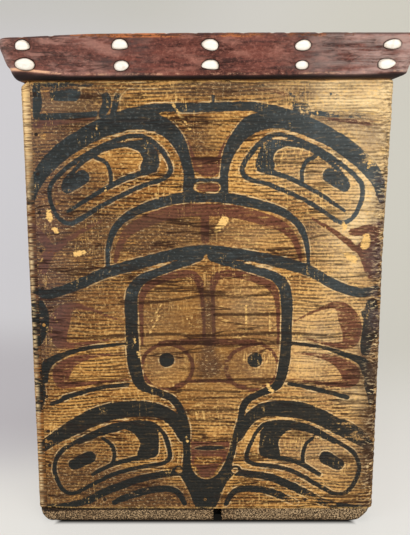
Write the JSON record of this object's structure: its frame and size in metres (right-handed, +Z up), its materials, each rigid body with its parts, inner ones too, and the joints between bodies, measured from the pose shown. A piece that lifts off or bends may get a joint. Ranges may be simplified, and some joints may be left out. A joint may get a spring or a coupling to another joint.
{
  "type": "bentwood box",
  "caption": "Tall kerf-bent cedar storage box with a painted front, a rabbeted and pegged corner, a bottom board with a raised panel, and a flared lift-off lid set with shell opercula.",
  "frame": {"origin": "middle of the underside, on the surface that the box stands on", "axes": "+Z up along the lid's lift, -Y out of the painted front, +X to the right as seen from the front"},
  "size_m": [0.4348, 0.4152, 0.565],
  "materials": {
    "cedar_sides": "oiled and worn, horizontal grain, with black and dull red painting on the front",
    "cedar_bottom": "rough, grey-brown end grain",
    "lid_paint": "dull red-brown paint, worn to the wood along its edges",
    "peg_wood": "whittled, matte",
    "shell": "smooth cream shell, satin"
  },
  "bodies": {
    "box": {"box_sides": "cedar_sides", "box_bottom": "cedar_bottom", "corner_peg_1": "peg_wood", "corner_peg_2": "peg_wood", "corner_peg_3": "peg_wood", "corner_peg_4": "peg_wood", "corner_peg_5": "peg_wood", "corner_peg_6": "peg_wood", "corner_peg_7": "peg_wood", "corner_peg_8": "peg_wood", "corner_peg_9": "peg_wood", "corner_peg_10": "peg_wood", "corner_peg_11": "peg_wood", "corner_peg_12": "peg_wood", "bottom_peg_front_1": "peg_wood", "bottom_peg_front_2": "peg_wood", "bottom_peg_front_3": "peg_wood", "bottom_peg_right_1": "peg_wood", "bottom_peg_right_2": "peg_wood", "bottom_peg_right_3": "peg_wood", "bottom_peg_back_1": "peg_wood", "bottom_peg_back_2": "peg_wood", "bottom_peg_back_3": "peg_wood", "bottom_peg_left_1": "peg_wood", "bottom_peg_left_2": "peg_wood", "bottom_peg_left_3": "peg_wood"},
    "lid": {"lid": "lid_paint", "operculum_upper_1": "shell", "operculum_upper_2": "shell", "operculum_upper_3": "shell", "operculum_upper_4": "shell", "operculum_upper_5": "shell", "operculum_lower_1": "shell", "operculum_lower_2": "shell", "operculum_lower_3": "shell", "operculum_lower_4": "shell", "operculum_lower_5": "shell"}
  },
  "joints": [
    {"name": "lid_lift", "type": "slide", "parent": "box", "child": "lid", "axis": [0, 0, 1], "range_m": [0, 0.25]}
  ]
}
